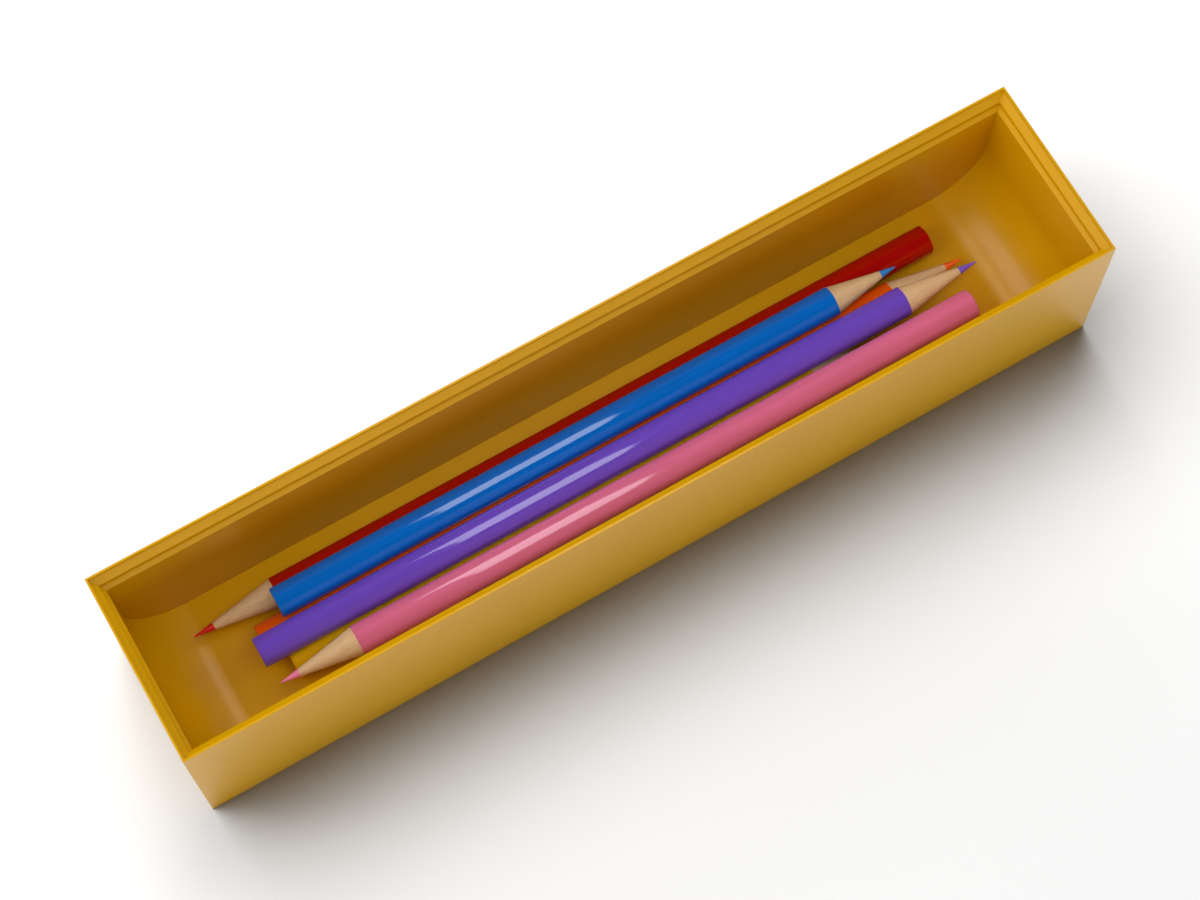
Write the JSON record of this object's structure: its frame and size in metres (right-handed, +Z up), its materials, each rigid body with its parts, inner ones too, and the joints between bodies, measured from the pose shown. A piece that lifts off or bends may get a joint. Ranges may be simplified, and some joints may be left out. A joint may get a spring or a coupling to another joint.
{
  "type": "pencil drawer box",
  "caption": "Long open drawer box with a stepped rim and finger scoops at both ends, holding loose coloured pencils that lift out or slide.",
  "frame": {"origin": "middle of the box's flat underside", "axes": "+X along the box towards the right end, +Y across it towards the far long wall, +Z up"},
  "size_m": [0.2094, 0.0414, 0.042],
  "materials": {
    "box_plastic": "satin moulded plastic, amber yellow",
    "pencil_wood": "sharpened bare basswood",
    "red_lacquer": "glossy red pencil lacquer",
    "red_pigment": "waxy red pigment core",
    "orange_lacquer": "glossy orange pencil lacquer",
    "orange_pigment": "waxy orange pigment core",
    "yellow_lacquer": "glossy yellow pencil lacquer",
    "yellow_pigment": "waxy yellow pigment core",
    "green_lacquer": "glossy green pencil lacquer",
    "green_pigment": "waxy green pigment core",
    "blue_lacquer": "glossy blue pencil lacquer",
    "blue_pigment": "waxy blue pigment core",
    "purple_lacquer": "glossy purple pencil lacquer",
    "purple_pigment": "waxy purple pigment core",
    "pink_lacquer": "glossy pink pencil lacquer",
    "pink_pigment": "waxy pink pigment core"
  },
  "bodies": {
    "box": {"box_body": "box_plastic"},
    "red_pencil": {"red_lacquer": "red_lacquer", "red_upper_slat": "pencil_wood", "red_lower_slat": "pencil_wood", "red_core": "red_pigment"},
    "orange_pencil": {"orange_lacquer": "orange_lacquer", "orange_upper_slat": "pencil_wood", "orange_lower_slat": "pencil_wood", "orange_core": "orange_pigment"},
    "yellow_pencil": {"yellow_lacquer": "yellow_lacquer", "yellow_upper_slat": "pencil_wood", "yellow_lower_slat": "pencil_wood", "yellow_core": "yellow_pigment"},
    "green_pencil": {"green_lacquer": "green_lacquer", "green_upper_slat": "pencil_wood", "green_lower_slat": "pencil_wood", "green_core": "green_pigment"},
    "blue_pencil": {"blue_lacquer": "blue_lacquer", "blue_upper_slat": "pencil_wood", "blue_lower_slat": "pencil_wood", "blue_core": "blue_pigment"},
    "purple_pencil": {"purple_lacquer": "purple_lacquer", "purple_upper_slat": "pencil_wood", "purple_lower_slat": "pencil_wood", "purple_core": "purple_pigment"},
    "pink_pencil": {"pink_lacquer": "pink_lacquer", "pink_upper_slat": "pencil_wood", "pink_lower_slat": "pencil_wood", "pink_core": "pink_pigment"}
  },
  "joints": [
    {"name": "blue_pencil_lift", "type": "slide", "parent": "box", "child": "blue_pencil", "axis": [0, 0, 1], "range_m": [0, 0.045]},
    {"name": "purple_pencil_lift", "type": "slide", "parent": "box", "child": "purple_pencil", "axis": [0, 0, 1], "range_m": [0, 0.045]},
    {"name": "pink_pencil_lift", "type": "slide", "parent": "box", "child": "pink_pencil", "axis": [0, 0, 1], "range_m": [0, 0.045]},
    {"name": "red_pencil_slide", "type": "slide", "parent": "box", "child": "red_pencil", "axis": [1, 0, 0], "range_m": [-0.006, 0.0065]},
    {"name": "orange_pencil_slide", "type": "slide", "parent": "box", "child": "orange_pencil", "axis": [1, 0, 0], "range_m": [-0.0095, 0.0095]},
    {"name": "yellow_pencil_slide", "type": "slide", "parent": "box", "child": "yellow_pencil", "axis": [1, 0, 0], "range_m": [-0.0125, 0.032]},
    {"name": "green_pencil_slide", "type": "slide", "parent": "box", "child": "green_pencil", "axis": [1, 0, 0], "range_m": [-0.038, 0.016]}
  ]
}
